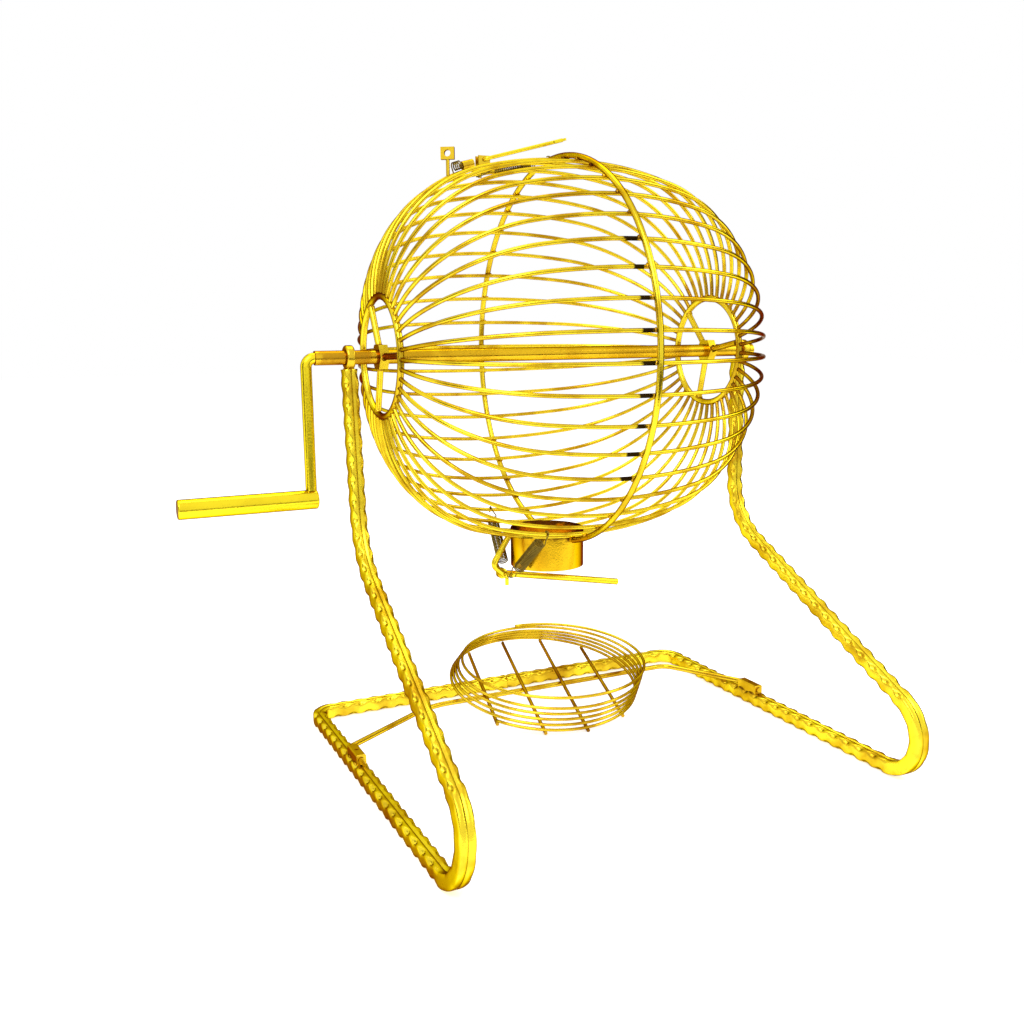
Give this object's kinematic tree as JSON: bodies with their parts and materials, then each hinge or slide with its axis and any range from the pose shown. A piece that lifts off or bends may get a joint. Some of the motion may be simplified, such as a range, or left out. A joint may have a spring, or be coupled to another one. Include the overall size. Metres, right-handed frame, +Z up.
{
  "type": "raffle drum",
  "caption": "Bent-wire raffle drum turned by a crank on a bent square-bar stand, with a sprung outlet lever under it, a sprung latch on top and a coiled-wire ball tray that pulls out of two sockets",
  "frame": {"origin": "middle of the underside of the stand's rear bar, on the table", "axes": "+X along the axle away from the crank, +Y to the rear, away from the stand's front bends, +Z up"},
  "size_m": [0.3855, 0.3008, 0.3755],
  "materials": {
    "cage_wire": "bright plated wire, glossy, darker at the welds",
    "cage_ring": "bright plated rod",
    "crank": "bright plated tube and rod, smooth",
    "stand": "bright plated bar with hammered edges",
    "stand_fittings": "bright plated small fittings",
    "tray": "bright plated wire",
    "outlet": "bright plated tube and rod",
    "latch": "bright plated small fittings",
    "spring": "dark olive spring wire"
  },
  "bodies": {
    "stand": {"stand_bar": "stand", "left_bearing_ring": "stand_fittings", "right_bearing_ring": "stand_fittings", "left_tray_socket": "stand_fittings", "right_tray_socket": "stand_fittings"},
    "drum": {"axle_tube": "crank", "crank_arm": "crank", "crank_grip": "crank", "left_hub": "cage_ring", "right_hub": "cage_ring", "left_end_ring": "cage_ring", "right_end_ring": "cage_ring", "left_spokes": "cage_ring", "right_spokes": "cage_ring", "cage_wires_01": "cage_wire", "cage_wires_02": "cage_wire", "cage_wires_03": "cage_wire", "cage_wires_04": "cage_wire", "cage_wires_05": "cage_wire", "cage_wires_06": "cage_wire", "cage_wires_07": "cage_wire", "cage_wires_08": "cage_wire", "cage_wires_09": "cage_wire", "cage_wires_10": "cage_wire", "cage_wires_11": "cage_wire", "cage_wires_12": "cage_wire", "cage_wires_13": "cage_wire", "cage_wires_14": "cage_wire", "middle_ring_front": "cage_ring", "middle_ring_rear": "cage_ring", "outlet_tube": "outlet", "outlet_arm": "outlet", "outlet_hinge_pin": "outlet", "outlet_spring_front": "spring", "outlet_spring_rear": "spring", "latch_bracket": "latch", "latch_spring": "spring", "latch_sleeve": "latch", "latch_coil": "spring", "latch_post": "latch", "latch_nut": "latch"},
    "outlet_gate": {"outlet_lever": "outlet", "outlet_cross_pin": "outlet"},
    "latch": {"latch_lever": "latch"},
    "tray": {"tray_coil": "tray", "tray_floor_wires": "tray", "tray_rod": "tray"}
  },
  "joints": [
    {"name": "drum_spin", "type": "hinge", "parent": "stand", "child": "drum", "pos_m": [0, -0.0815, 0.246], "axis": [1, 0, 0], "continuous": true},
    {"name": "outlet_gate_swing", "type": "hinge", "parent": "drum", "child": "outlet_gate", "pos_m": [-0.04, -0.08281, 0.109], "axis": [0, 1, 0], "range_deg": [0, 25], "stiffness_Nm_per_rad": 0.03, "springref_deg": -25.78, "deforming": ["outlet_spring_front", "outlet_spring_rear"]},
    {"name": "latch_swing", "type": "hinge", "parent": "drum", "child": "latch", "pos_m": [-0.0465, -0.07624, 0.36034], "axis": [0, 1, 0], "range_deg": [0, 6.5], "stiffness_Nm_per_rad": 0.03, "springref_deg": -17.19, "deforming": ["latch_spring"]},
    {"name": "tray_slide", "type": "slide", "parent": "stand", "child": "tray", "axis": [0, 1, 0], "range_m": [0, 0.016]}
  ]
}
